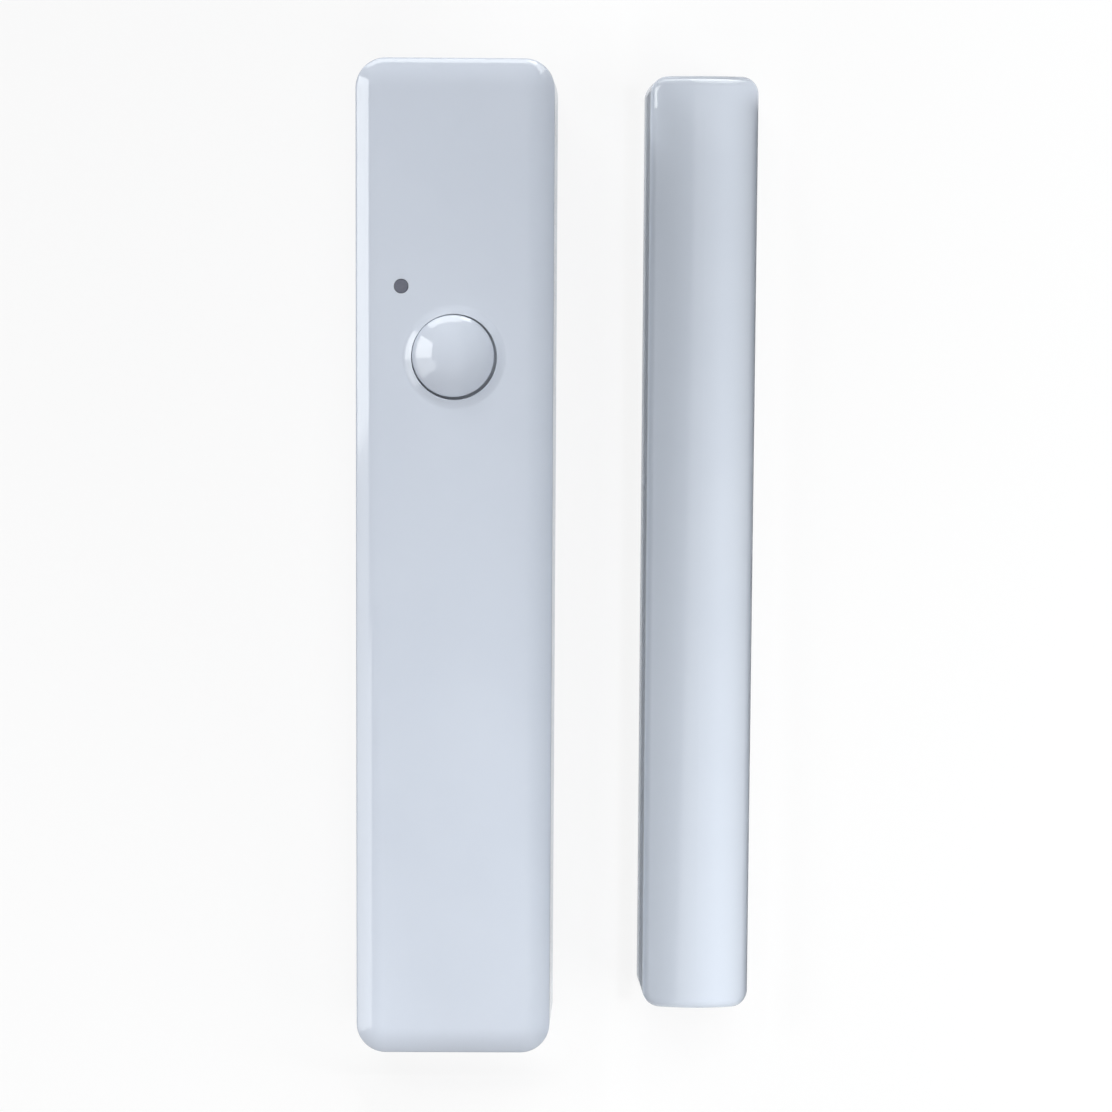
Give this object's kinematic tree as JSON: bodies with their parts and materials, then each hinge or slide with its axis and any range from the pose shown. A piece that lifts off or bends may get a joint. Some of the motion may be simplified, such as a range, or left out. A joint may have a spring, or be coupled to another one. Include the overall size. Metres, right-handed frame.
{
  "type": "wireless door contact",
  "caption": "Slim wireless door and window contact: a transmitter with a round button and light window, and its separate long magnet unit, both backed with adhesive pads.",
  "frame": {"origin": "centre of the transmitter's back, on the underside of its adhesive pad", "axes": "+Z out of the wall towards the front faces, +Y along the housings towards the button's end, +X from the transmitter towards the magnet unit"},
  "size_m": [0.048, 0.119, 0.0166],
  "materials": {
    "gloss_white_plastic": "high-gloss cool white moulded plastic",
    "matte_white_plastic": "fine spark-eroded texture, same white",
    "smoked_plastic": "smoked translucent grey, flat end",
    "led_plastic": "clear moulded",
    "foam_tape": "closed-cell acrylic foam tape",
    "board_laminate": "solder resist over glass laminate",
    "black_plastic": "moulded black",
    "ferrite": "sintered, dark grey",
    "plated_steel": "tin plated",
    "aluminium_can": "drawn can, satin",
    "copper_wire": "enamelled copper wire",
    "clear_glass": "clear, slightly green",
    "cell_sleeve": "printed sleeve, plain grey",
    "spring_steel": "nickel plated",
    "tamper_plastic": "acetal, natural",
    "zinc_steel": "zinc plated"
  },
  "bodies": {
    "root": {"front_cover": "gloss_white_plastic", "magnet_cover": "gloss_white_plastic", "back_plate": "matte_white_plastic", "magnet_back_plate": "matte_white_plastic", "light_pipe": "smoked_plastic", "status_led": "led_plastic", "sensor_adhesive_pad": "foam_tape", "magnet_adhesive_pad": "foam_tape", "circuit_board": "board_laminate", "microcontroller": "black_plastic", "boost_inductor": "ferrite", "crystal": "plated_steel", "radio_shield": "plated_steel", "tact_switch_frame": "plated_steel", "tact_switch_terminals": "plated_steel", "tact_switch_body": "black_plastic", "storage_capacitor": "aluminium_can", "antenna_coil": "copper_wire", "reed_glass": "clear_glass", "reed_blade_lower": "plated_steel", "reed_blade_upper": "plated_steel", "battery": "cell_sleeve", "positive_contact": "spring_steel", "negative_contact": "spring_steel", "battery_spring": "spring_steel", "tamper_switch_body": "black_plastic", "board_screw_upper": "zinc_steel", "board_screw_lower": "zinc_steel", "bar_magnet": "ferrite"},
    "button": {"push_button": "gloss_white_plastic", "tact_switch_stem": "black_plastic"},
    "tamper": {"tamper_plunger": "tamper_plastic"}
  },
  "joints": [
    {"name": "button_press", "type": "slide", "parent": "root", "child": "button", "axis": [0, 0, -1], "range_m": [0, 0.0004], "stiffness_N_per_m": 800},
    {"name": "tamper_slide", "type": "slide", "parent": "root", "child": "tamper", "axis": [0, 0, -1], "range_m": [0, 0.0012], "stiffness_N_per_m": 60, "springref_m": 0.0018}
  ]
}
